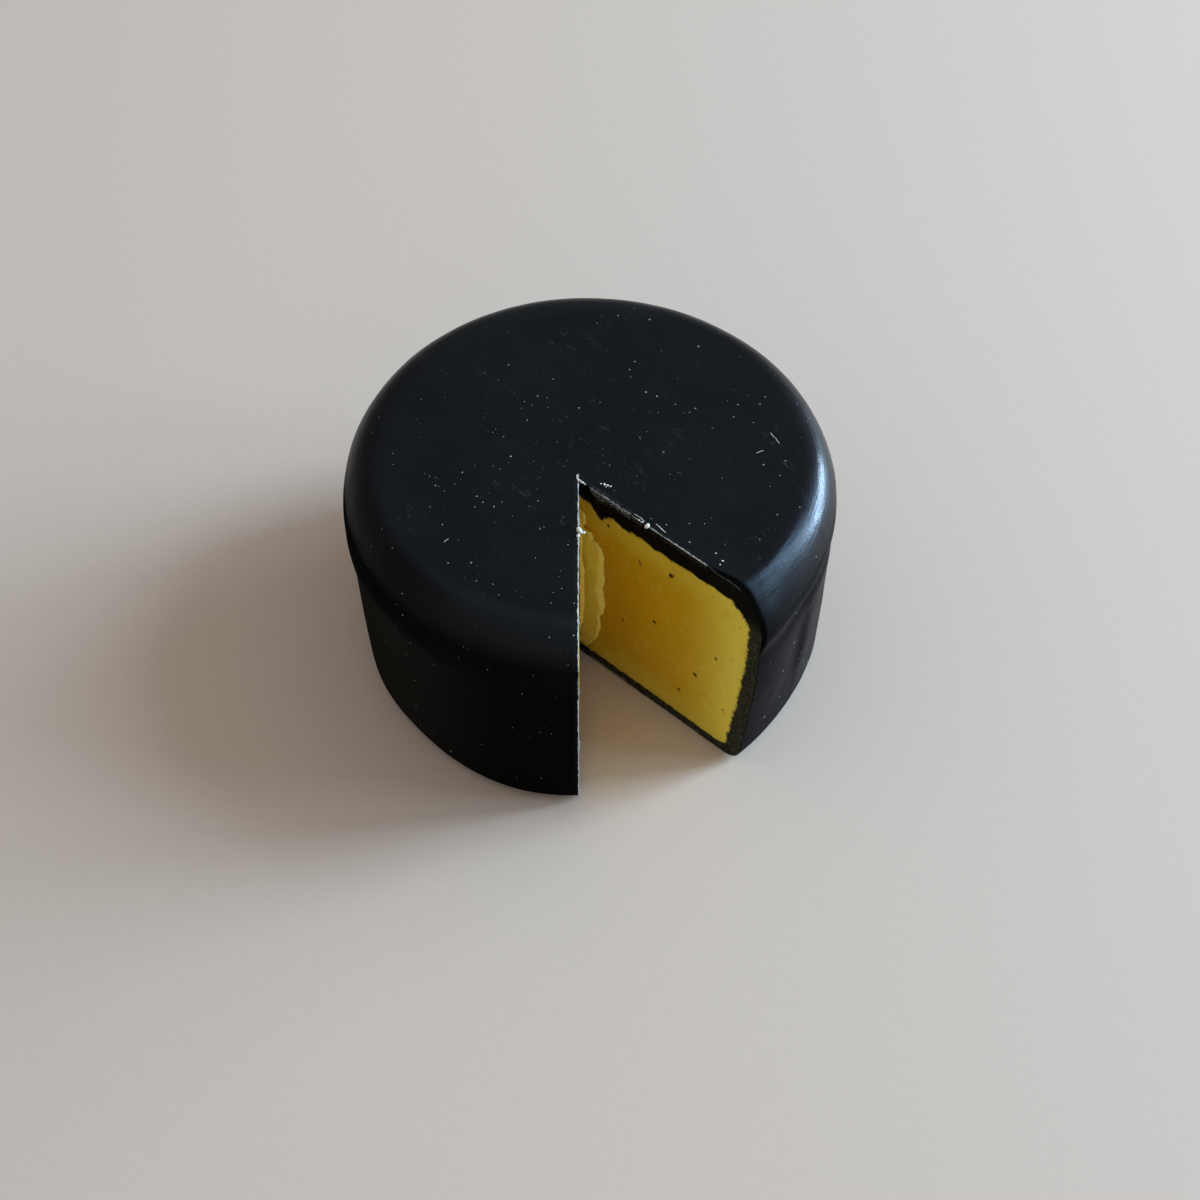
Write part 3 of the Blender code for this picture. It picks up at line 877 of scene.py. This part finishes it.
def black_wax(groups):
    """Satin black wax, faintly clouded, with dust, scuffs and a whitened edge at the cuts; painted sheen
    on the shoulder and the right flank, painted light on the left side, and painted shade low on the side
    and on the pressed wax.
    """
    material, tree, add, shader = new_finish("black_wax")
    calc, ramp = math_chain(add)
    dust, edge = placed(add, groups["dust"]), placed(add, groups["edge"])
    grain = placed(add, groups["grain"], Grain=0.0005, Lumps=0.0045)
    place = placed(add, groups["place"])
    height, radius, right, left = (place[key] for key in ("Height", "Radius", "Rightward", "Leftward"))
    pressed = ramp(carried(add, "pressed"), 0.02, 0.25)
    below = ramp(height, SHOULDER_FOOT, CREASE_AT)
    # the right flank below the crease, which is given a painted sheen
    flank = calc("MULTIPLY", below, right)
    # the upper shoulder, given a painted sheen, less at the right and hardly at all at the left
    rim = calc("MULTIPLY", ramp(radius, 39.0 * MM, 43.5 * MM),
               ramp(height, HEIGHT - 6.0 * MM, HEIGHT - 2.0 * MM))
    rim = calc("MULTIPLY", rim, calc("SUBTRACT", 1.0, right))
    rim = calc("MULTIPLY", rim, calc("MULTIPLY_ADD", left, -0.95, 1.0))
    scuffs = calc("MULTIPLY", dust["Scuffs"], calc("MULTIPLY_ADD", below, -SIDE_WITHOUT_SCUFFS, 1.0))
    colour = layered(add, WAX_BLACK, (
        # painted shade on the side below the crease
        (dust["Clouds"], 0.55, WAX_BLOOM), (calc("SUBTRACT", below, flank), 1.0, WAX_LOW_SHADE),
        # painted sheen on the right flank and the upper shoulder, painted light on the left side
        (flank, 1.0, WAX_FLANK_SHEEN), (calc("MULTIPLY", below, left), 1.0, WAX_LEFT_LIT), (rim, 0.55, WAX_RIM_SHEEN),
        # painted shade on the pressed wax beside the right cut
        (pressed, 1.0, WAX_PRESSED_SHADE), (scuffs, 1.0, WAX_SCUFFED), (dust["Dots"], 0.35, CRUMB_PALE),
        (edge["Haze"], 0.08, WAX_WHITENED), (edge["Line"], 1.0, WAX_WHITENED)))
    tree.links.new(colour, shader.inputs["Base Color"])
    rough = calc("MULTIPLY_ADD", dust["Clouds"], 0.08, 0.27)
    rough = calc("MAXIMUM", rough, calc("MULTIPLY", pressed, 0.55))
    rough = calc("MAXIMUM", rough, calc("MULTIPLY", edge["Line"], 0.7))
    tree.links.new(rough, shader.inputs["Roughness"])
    brushed = calc("MULTIPLY", place["Brushed"], ramp(radius, 41.0 * MM, 45.0 * MM, 0.0, 1.15))
    relief = calc("ADD", grain["Height"], brushed)
    tree.links.new(bumped(add, relief, 0.10 * MM, 0.6), shader.inputs["Normal"])
    shine_left = ramp(height, HEIGHT - 7.5 * MM, HEIGHT - 2.0 * MM, 0.0, TOP_SHINE)
    shine_right = ramp(height, HEIGHT - 9.5 * MM, HEIGHT - 3.0 * MM, LOW_SHINE, RIGHT_SHINE)
    gain = calc("MULTIPLY", calc("SUBTRACT", shine_right, shine_left), right)
    shine = calc("MULTIPLY", calc("ADD", shine_left, gain), calc("MULTIPLY_ADD", pressed, -0.9, 1.0))
    away = calc("MULTIPLY", calc("MAXIMUM", place["Backward"], left), ramp(radius, 40.0 * MM, 46.0 * MM))
    shine = calc("MULTIPLY", shine, calc("MULTIPLY_ADD", away, -RIM_SHINE_LOST, 1.0))
    tree.links.new(shine, shader.inputs["Specular IOR Level"])
    # reflections tinted blue: painted colour of a cool window's light
    shader.inputs["Specular Tint"].default_value = (*WAX_REFLECTION_TINT, 1.0)
    return material


CUT_DARK, CUT_PALER = (0.0006, 0.0007, 0.0007), (0.0024, 0.0030, 0.0030)
CUT_SIDE, CUT_SIDE_GRAINS = (0.018, 0.0185, 0.011), (0.068, 0.070, 0.042)
CUT_THIN = (0.05, 0.036, 0.006)
CUT_FLECK = (0.22, 0.21, 0.16)
CUT_SCUFF = (0.08, 0.078, 0.068)


def cut_wax(groups):
    """Wax as the knife leaves it: black on top, grey and grainy at the side, frayed at its lip."""
    material, tree, add, shader = new_finish("cut_wax")
    calc, ramp = math_chain(add)
    across = carried(add, "across_band")
    dust = placed(add, groups["dust"], Dot_Size=0.0006, Dots=0.30, Scuffs=0.8)
    grain, edge = placed(add, groups["grain"], Grain=0.00035, Lumps=0.0016), placed(add, groups["edge"])
    up = add("ShaderNodeSeparateXYZ", {0: add("ShaderNodeTexCoord").outputs["Object"]}).outputs[2]
    side = ramp(up, HEIGHT - 6.0 * MM, HEIGHT - 11.0 * MM)
    grey = mixed(add, ramp(noisy(add, 1300.0, 3.0, 0.7), 0.38, 0.64), CUT_SIDE, CUT_SIDE_GRAINS)
    lip = calc("MULTIPLY", ramp(across, 0.42, 0.04), edge["Haze"])
    line = calc("MULTIPLY", ramp(across, 0.04, 0.02), edge["Line"])
    colour = layered(add, mixed(add, grain["Mottle"], CUT_DARK, CUT_PALER), (
        (side, 0.7, grey), (ramp(across, 0.92, 1.0), 0.06, CUT_THIN), (dust["Dots"], 0.30, CUT_FLECK),
        (dust["Scuffs"], 0.12, CUT_SCUFF), (lip, 0.50, WAX_WHITENED), (line, 1.0, WAX_WHITENED)))
    tree.links.new(colour, shader.inputs["Base Color"])
    tree.links.new(calc("MULTIPLY_ADD", grain["Mottle"], 0.2, 0.38), shader.inputs["Roughness"])
    tree.links.new(bumped(add, grain["Height"], 0.35 * MM, 0.8), shader.inputs["Normal"])
    shader.inputs["Specular IOR Level"].default_value = 0.045
    return material


CHEESE_PALE = (0.72, 0.52, 0.044)
CHEESE_DEEP = (0.645, 0.385, 0.007)
# Lighter towards the rim: partly the paler cheese by the rind, partly painted light
CHEESE_RIM_PALE_AND_LIT = (0.96, 0.785, 0.090)
# Painted light: the broken cheese by the apex brighter, as if it caught more light
CHEESE_BROKEN_LIT = (1.0, 0.84, 0.15)
# Painted shade along the step where the broken cheese meets the cut cheese
CHEESE_STEP_SHADE = (0.46, 0.235, 0.006)
# Painted shade inside the small holes
CHEESE_PIT_SHADE = (0.075, 0.036, 0.004)


CHEESE_FLECK, CHEESE_SPOT = (0.84, 0.66, 0.17), (0.55, 0.29, 0.01)
CHEESE_STAINED, CHEESE_WAXED = (0.20, 0.145, 0.02), (0.007, 0.0065, 0.004)
CHEESE_SCATTER = (1.0, 0.55, 0.15)      # how far each colour of light spreads in it, in shares
CHEESE_DEPTH = 2.2 * MM


def cheddar(groups):
    """Deep yellow cheese: mottled, paler near the wax, with a smear of wax at its edge; lighter towards
    the rim, partly painted light, with painted light on the broken cheese and painted shade in the pits
    and along the break's step.
    """
    material, tree, add, shader = new_finish("cheddar")
    calc, ramp = math_chain(add)
    from_wax, broken = carried(add, "from_wax"), carried(add, "broken")
    grain = placed(add, groups["grain"], Grain=0.0007, Lumps=0.005)
    radius = placed(add, groups["place"])["Radius"]
    drift = calc("MULTIPLY_ADD", noisy(add, 60.0, 4.0), 0.9, -0.35)
    paler = calc("MULTIPLY_ADD", ramp(from_wax, 9.0, 1.5), 0.75, drift)
    # the step at the edge of the broken cheese, which gets painted shade
    crease = calc("MULTIPLY", ramp(broken, 0.0, 0.3), ramp(broken, 1.0, 0.7))
    blotch = noisy(add, 420.0, 3.0)
    stain = calc("ADD", from_wax, calc("MULTIPLY_ADD", noisy(add, 620.0, 4.0, 0.7), 2.6, -1.3))
    colour = layered(add, mixed(add, ramp(paler, 0.0, 1.0), CHEESE_DEEP, CHEESE_PALE), (
        # lighter towards the rim, partly painted light
        (ramp(radius, 30.0 * MM, 48.0 * MM), 0.75, CHEESE_RIM_PALE_AND_LIT),
        # painted light on the broken cheese, painted shade along the step at its edge
        (ramp(broken, 0.6, 1.0), 0.9, CHEESE_BROKEN_LIT), (crease, 0.85, CHEESE_STEP_SHADE),
        (ramp(blotch, 0.56, 0.72), 0.22, CHEESE_FLECK), (ramp(blotch, 0.44, 0.30), 0.22, CHEESE_SPOT),
        # painted shade in the pits
        (ramp(carried(add, "pit"), 0.06, 0.30), 1.0, CHEESE_PIT_SHADE),
        (ramp(stain, 0.95, 0.1), 0.75, CHEESE_STAINED), (ramp(stain, 0.36, 0.12), 1.0, CHEESE_WAXED)))
    tree.links.new(colour, shader.inputs["Base Color"])
    tree.links.new(calc("MULTIPLY_ADD", grain["Mottle"], 0.12, 0.42), shader.inputs["Roughness"])
    tree.links.new(bumped(add, grain["Height"], 0.22 * MM, 0.7), shader.inputs["Normal"])
    shader.inputs["Subsurface Weight"].default_value = 0.22
    shader.inputs["Subsurface Radius"].default_value = CHEESE_SCATTER
    shader.inputs["Subsurface Scale"].default_value = CHEESE_DEPTH
    shader.inputs["Specular IOR Level"].default_value = 0.25
    return material


def plain_finish(name, colour, roughness, grain_tree, variation):
    """A crumb's or a floor's finish: one colour with a soft mottle."""
    material, tree, add, shader = new_finish(name)
    grain = placed(add, grain_tree, Grain=0.0004, Lumps=0.0018)
    darker = tuple(c * variation for c in colour)
    tree.links.new(mixed(add, grain["Mottle"], darker, colour), shader.inputs["Base Color"])
    shader.inputs["Roughness"].default_value = roughness
    return material


# Crumbs, flakes and torn edges


def top_height(x, y):
    """The height of the wax's top at a place in plan, in millimetres."""
    turn, reach = math.atan2(y, x), math.hypot(x, y) * MM / RADIUS
    return (HEIGHT + float(swell(turn, reach, 1.0))) / MM


CRUMBS = (                    # x, y, size and flatness of crumbs on the top, all in mm
    (1.9, -7.5, 0.26, 0.6), (2.6, -7.7, 0.38, 0.6), (3.2, -8.0, 0.38, 0.7), (3.8, -8.2, 0.28, 0.6),
    (2.9, -8.3, 0.22, 0.6), (-2.4, -6.5, 0.32, 0.4), (-1.9, -7.1, 0.30, 0.4), (-1.2, -7.6, 0.24, 0.4),
    (10.85, -18.8, 0.74, 0.95), (9.9, -17.5, 0.26, 0.6), (9.3, -17.0, 0.22, 0.6),
    (24.0, -25.5, 0.26, 0.6), (25.2, -27.4, 0.30, 0.6), (24.7, -28.3, 0.22, 0.6), (19.0, -22.6, 0.2, 0.6),
    (-2.5, -19.2, 0.55, 0.6), (-2.2, -19.9, 0.85, 0.6), (-1.5, -20.2, 0.55, 0.5), (-2.5, -21.0, 0.6, 0.5),
)
SLIVERS = (                   # x, y, length, turn in degrees and width of thin curls, in mm
    (-2.65, -5.9, 1.2, 94.0, 0.16), (-2.1, -6.9, 1.0, -36.0, 0.20), (13.5, -19.07, 2.3, -40.0, 0.075),
    (36.5, 5.6, 1.7, -50.0, 0.06), (37.3, 4.2, 1.3, -70.0, 0.055), (33.5, 1.2, 1.3, 15.0, 0.055),
    (-28.0, -22.0, 0.9, 40.0, 0.06), (9.3, -16.45, 2.3, -44.0, 0.07),
)


def rounded_bit(form, centre, size, flat, turn, seed, subdivisions=2):
    """Adds one irregular crumb to a form."""
    made = bmesh.ops.create_icosphere(form, subdivisions=subdivisions, radius=1.0)["verts"]
    spin = Euler((0.0, 0.0, turn)).to_matrix()
    for vertex in made:
        rough = 1.0 + 0.35 * noise.noise(vertex.co * 1.3 + Vector((seed * 7.1, seed, 0.0)))
        rough += 0.18 * noise.noise(vertex.co * 3.1 + Vector((0.0, seed * 3.3, seed)))
        shaped = Vector((vertex.co.x * 1.25, vertex.co.y, vertex.co.z * flat)) * rough * size
        vertex.co = centre + spin @ shaped


SLIVER_BITS = 7               # small bits that make up one curl


def crumbs_on_top(finish):
    """Crumbs of cheese, and thin curls of it, that lie on the wax where they fell."""
    form = bmesh.new()
    for seed, (x, y, size, flat) in enumerate(CRUMBS):
        up = top_height(x, y) + 0.6 * size * flat
        rounded_bit(form, Vector((x, y, up)) * MM, 0.62 * size * MM, flat, 1.3 * seed, seed)
    for seed, (x, y, length, turn, wide) in enumerate(SLIVERS):
        run = Vector((math.cos(math.radians(turn)), math.sin(math.radians(turn)), 0.0))
        for k in range(SLIVER_BITS):
            at = (k / (SLIVER_BITS - 1) - 0.5) * length
            bend = 0.12 * length * math.sin(2.4 * k / SLIVER_BITS + seed)
            place = Vector((x, y, 0.0)) + run * at + Vector((-run.y, run.x, 0.0)) * bend
            place.z = top_height(place.x, place.y) + wide * 0.4
            rounded_bit(form, place * MM, wide * 0.9 * MM, 0.7, math.radians(turn), seed + k, 1)
            for vertex in form.verts[-12:]:
                longer = 0.9 * length / SLIVER_BITS / wide
                vertex.co += run * (vertex.co - place * MM).dot(run) * longer
    mesh = bpy.data.meshes.new("crumbs_on_wax")
    form.to_mesh(mesh)
    form.free()
    mesh.materials.append(finish)
    mesh.shade_smooth()
    crumbs = bpy.data.objects.new("crumbs_on_wax", mesh)
    bpy.context.scene.collection.objects.link(crumbs)
    return crumbs


def random_vector(add, low, high, seed):
    """A random vector between two corners, for each point."""
    node = add("FunctionNodeRandomValue", {"Seed": seed}, data_type="FLOAT_VECTOR")
    node.inputs[0].default_value, node.inputs[1].default_value = low, high
    return node.outputs[0]


def random_number(add, low, high, seed):
    """A random number between two others, for each point."""
    node = add("FunctionNodeRandomValue", {"Seed": seed}, data_type="FLOAT")
    node.inputs[2].default_value, node.inputs[3].default_value = low, high
    return node.outputs[1]


def mapped(add, value, low, high, start, end):
    """A value carried over from one range to another, without going past it."""
    return add("ShaderNodeMapRange", {"Value": value, "From Min": low, "From Max": high,
                                      "To Min": start, "To Max": end}).outputs[0]


def product(add, first, second):
    """One number times another."""
    return add("ShaderNodeMath", {0: first, 1: second}, operation="MULTIPLY").outputs[0]


def bits_on(add, points, turn, shape, size, finish):
    """Small bits on points, each with its own turn, shape and size, as one mesh with a finish."""
    bit = add("GeometryNodeMeshIcoSphere", {"Radius": 1.0, "Subdivisions": 1}).outputs["Mesh"]
    sized = add("ShaderNodeVectorMath", {0: shape, "Scale": size}, operation="SCALE").outputs[0]
    placed_bits = add("GeometryNodeInstanceOnPoints", {"Points": points, "Instance": bit,
                                                       "Rotation": turn, "Scale": sized})
    real = add("GeometryNodeRealizeInstances", {"Geometry": placed_bits.outputs[0]})
    return add("GeometryNodeSetMaterial", {"Geometry": real.outputs[0], "Material": finish}).outputs[0]


FULL_SPIN = 6.28
DUST_TILT = 0.3                 # radians off level
DUST_SKEW = 3.5                 # most dust is small, by this power
DUST_SHAPES = ((0.7, 0.6, 0.35), (1.7, 1.0, 0.7))
DUST_LEAST = 0.3                # the share of dust left where there is least of it
TORN_SHAPES = ((0.6, 0.6, 0.3), (1.8, 1.2, 0.9))
TORN_STRAYS = ((-0.12 * MM, -0.12 * MM, -0.10 * MM), (0.12 * MM, 0.12 * MM, 0.06 * MM))


def scatter_tree():
    """Small bits that lie all over a surface: how many, how big, and which finish."""
    tree, add, given, result = new_group(
        "scattered_bits", "GeometryNodeTree",
        {"Surface": "NodeSocketGeometry", "Per Square Metre": 30000.0, "Smallest": 0.00004,
         "Largest": 0.0002, "Seed": 3, "Finish": "NodeSocketMaterial"}, {"Bits": "NodeSocketGeometry"})
    patches = add("ShaderNodeTexNoise", {"Scale": 60.0, "Detail": 3.0}).outputs["Fac"]
    thick = mapped(add, patches, 0.42, 0.62, 0.08, 1.0)
    place = add("ShaderNodeSeparateXYZ", {0: add("GeometryNodeInputPosition").outputs[0]}).outputs
    for value, least_at, most_at in ((place[1], 30.0 * MM, -10.0 * MM), (place[2], 22.0 * MM, 44.0 * MM)):
        thick = product(add, thick, mapped(add, value, least_at, most_at, DUST_LEAST, 1.0))
    spread = add("GeometryNodeDistributePointsOnFaces",
                 {"Mesh": given["Surface"], "Density": product(add, thick, given["Per Square Metre"]),
                  "Seed": given["Seed"]})
    turn = random_vector(add, (-DUST_TILT, -DUST_TILT, 0.0), (DUST_TILT, DUST_TILT, FULL_SPIN), 11)
    skew = add("ShaderNodeMath", {0: random_number(add, 0.0, 1.0, 12), 1: DUST_SKEW}, operation="POWER")
    size = mapped(add, skew.outputs[0], 0.0, 1.0, given["Smallest"], given["Largest"])
    shape = random_vector(add, *DUST_SHAPES, 13)
    bits = bits_on(add, spread.outputs["Points"], turn, shape, size, given["Finish"])
    tree.links.new(bits, result["Bits"])
    return tree


def torn_edge_tree():
    """Torn flecks along a line: their spacing, size and finish."""
    tree, add, given, result = new_group(
        "torn_edge", "GeometryNodeTree",
        {"Line": "NodeSocketGeometry", "Spacing": 0.0002, "Fleck": 0.00014, "Seed": 5,
         "Finish": "NodeSocketMaterial"}, {"Flecks": "NodeSocketGeometry"})
    curve = add("GeometryNodeMeshToCurve", {"Mesh": given["Line"]}).outputs[0]
    spaced = add("GeometryNodeResampleCurve", {"Curve": curve, "Length": given["Spacing"]}, mode="LENGTH")
    points = add("GeometryNodeCurveToPoints", {"Curve": spaced.outputs[0]}, mode="EVALUATED").outputs[0]
    stray = random_vector(add, *TORN_STRAYS, given["Seed"])
    moved = add("GeometryNodeSetPosition", {"Geometry": points, "Offset": stray}).outputs[0]
    patches = add("ShaderNodeTexNoise", {"Scale": 330.0, "Detail": 2.0}).outputs["Fac"]
    thick = mapped(add, patches, 0.42, 0.66, 0.15, 1.25)
    size = product(add, product(add, thick, random_number(add, 0.35, 1.3, 21)), given["Fleck"])
    shape = random_vector(add, *TORN_SHAPES, 22)
    turn = random_vector(add, (0.0, 0.0, 0.0), (1.5, 1.5, FULL_SPIN), 23)
    tree.links.new(bits_on(add, moved, turn, shape, size, given["Finish"]), result["Flecks"])
    return tree


def grown_by(tree, name, host, settings):
    """Runs a Geometry Nodes tree on a host mesh and keeps the result as a plain object."""
    modifier = host.modifiers.new(name, "NODES")
    modifier.node_group = tree
    for item in tree.interface.items_tree:
        if item.item_type == "SOCKET" and item.in_out == "INPUT" and item.name in settings:
            modifier[item.identifier] = settings[item.name]
    bpy.context.view_layer.update()
    graph = bpy.context.evaluated_depsgraph_get()
    mesh = bpy.data.meshes.new_from_object(host.evaluated_get(graph), depsgraph=graph)
    mesh.name = name
    mesh.shade_smooth()
    bpy.data.objects.remove(host)
    thing = bpy.data.objects.new(name, mesh)
    bpy.context.scene.collection.objects.link(thing)
    return thing


def host_mesh(name, points, edges=(), faces=()):
    """A bare mesh for a Geometry Nodes tree to work on."""
    mesh = bpy.data.meshes.new(name)
    mesh.from_pydata([tuple(p) for p in points], list(edges), [tuple(f) for f in faces])
    host = bpy.data.objects.new(name, mesh)
    bpy.context.scene.collection.objects.link(host)
    return host


def line_host(name, points):
    """A host that is a line through points."""
    return host_mesh(name, points, edges=[(i, i + 1) for i in range(len(points) - 1)])


# The stage


def camera():
    """The camera, where the photograph's was."""
    data = bpy.data.cameras.new("camera")
    data.lens, data.sensor_width = CAMERA_LENS, CAMERA_SENSOR
    thing = bpy.data.objects.new("camera", data)
    thing.location = (0.0, -CAMERA_DISTANCE * math.cos(CAMERA_RISE),
                      CAMERA_DISTANCE * math.sin(CAMERA_RISE))
    aim = Euler((math.pi / 2 - CAMERA_TIP, 0.0, -CAMERA_YAW)).to_matrix()
    roll = Euler((0.0, 0.0, CAMERA_ROLL)).to_matrix()
    thing.rotation_euler = (aim @ roll).to_euler()
    bpy.context.scene.collection.objects.link(thing)
    bpy.context.scene.camera = thing


WINDOWS = (                   # name, turn and rise in degrees, width and height in m, watts, colour
    ("tall_window", 14.0, 30.0, (0.50, 1.2), 27.0, (0.58, 0.79, 1.0)),
    ("low_window", 29.0, 3.6, (0.54, 0.19), 36.0, (0.56, 0.76, 1.0)),
    ("near_window", -6.0, 20.0, (0.34, 0.70), 6.0, (0.54, 0.76, 1.0)),
)
WINDOW_DISTANCE = 1.6
FLOOR_COLOUR = (0.75, 0.62, 0.52)
FLOOR_HALF = 3.0
FLOOR_BELOW = 0.3 * MM
SURROUNDINGS = (1.0, 0.97, 0.94, 1.0)
SURROUNDINGS_STRENGTH = 0.38


def soft_light(name, turn, rise, size, power, colour):
    """A square soft light aimed at the cheese, from a turn and a rise in degrees."""
    data = bpy.data.lights.new(name, "AREA")
    data.shape = "RECTANGLE"
    data.size, data.size_y = size
    data.energy, data.color = power, colour
    thing = bpy.data.objects.new(name, data)
    turn, rise = math.radians(turn), math.radians(rise)
    thing.location = Vector((math.cos(turn) * math.cos(rise), math.sin(turn) * math.cos(rise),
                             math.sin(rise))) * WINDOW_DISTANCE
    thing.rotation_euler = thing.location.to_track_quat("Z", "Y").to_euler()
    bpy.context.scene.collection.objects.link(thing)


def stage(grain_tree):
    """A plain pale floor, even soft surroundings, and three cool windows to the right."""
    finish = plain_finish("pale_floor", FLOOR_COLOUR, 0.8, grain_tree, 0.985)
    corners = [(x * FLOOR_HALF, y * FLOOR_HALF, -FLOOR_BELOW)
               for x, y in ((-1, -1), (1, -1), (1, 1), (-1, 1))]
    floor = host_mesh("floor", corners, faces=[(0, 1, 2, 3)])
    floor.data.materials.append(finish)
    world = bpy.data.worlds.new("soft_surroundings")
    world.use_nodes = True
    background = world.node_tree.nodes["Background"]
    background.inputs["Color"].default_value = SURROUNDINGS
    background.inputs["Strength"].default_value = SURROUNDINGS_STRENGTH
    bpy.context.scene.world = world
    for window in WINDOWS:
        soft_light(*window)
    bpy.context.scene.view_settings.view_transform = "Standard"


DUST = {"Per Square Metre": 135000.0, "Smallest": 0.03 * MM, "Largest": 0.13 * MM, "Seed": 4}
TORN_LEFT = {"Spacing": 0.13 * MM, "Fleck": 0.14 * MM, "Seed": 6}
TORN_RIGHT = {"Spacing": 0.16 * MM, "Fleck": 0.06 * MM, "Seed": 7}
CLEAN_CUT = (14.0, 33.5)      # reaches from the apex in mm between which the right edge is torn
DUST_EVERY = (4, 3)           # the dust's host keeps one column and one row in so many


def main():
    """Dresses the frame."""
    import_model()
    groups = {"dust": speckle_group(), "edge": knife_edge_group(), "grain": grain_group(),
              "place": place_group()}
    skin_finish, cut_finish = black_wax(groups), cut_wax(groups)
    cheese_finish = cheddar(groups)
    crumb_finish = plain_finish("pale_crumb", CRUMB_PALE, 0.6, groups["grain"], 0.8)
    torn_finish = plain_finish("torn_wax", WAX_WHITENED, 0.55, groups["grain"], 0.6)

    coat, outer = wax_coat(skin_finish, cut_finish)
    cheese = cheese_body(cheese_finish)
    crumbs = crumbs_on_top(crumb_finish)

    rows = outer.shape[1]
    sparse = outer[::DUST_EVERY[0], rows // 3:][:, ::DUST_EVERY[1]]
    numbers = np.arange(sparse.shape[0] * sparse.shape[1]).reshape(sparse.shape[:2])
    host = host_mesh("dusty_skin", sparse.reshape(-1, 3), faces=grid_faces(numbers))
    dust = grown_by(scatter_tree(), "dust_on_wax", host, {**DUST, "Finish": crumb_finish})
    torn = torn_edge_tree()
    reach = reach_of(outer[0]) / MM
    clean_cut = ((reach > CLEAN_CUT[0]) & (reach < CLEAN_CUT[1])
                 & (np.arange(rows) > rows - FLAT_RINGS))
    left = grown_by(torn, "torn_wax_left", line_host("left_edge", outer[-1, FLAT_RINGS + FOOT_STEPS:]),
                    {**TORN_LEFT, "Finish": torn_finish})
    right = grown_by(torn, "torn_wax_right", line_host("right_edge", outer[0, clean_cut]),
                     {**TORN_RIGHT, "Finish": torn_finish})

    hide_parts("wax_coat")
    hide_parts("cheese_paste")
    for piece, slot in ((coat, "black_wax"), (cheese, "cheddar"), (crumbs, "cheddar"),
                        (dust, "cheddar"), (left, "black_wax"), (right, "black_wax")):
        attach(piece, "root")

    camera()
    stage(groups["grain"])


main()
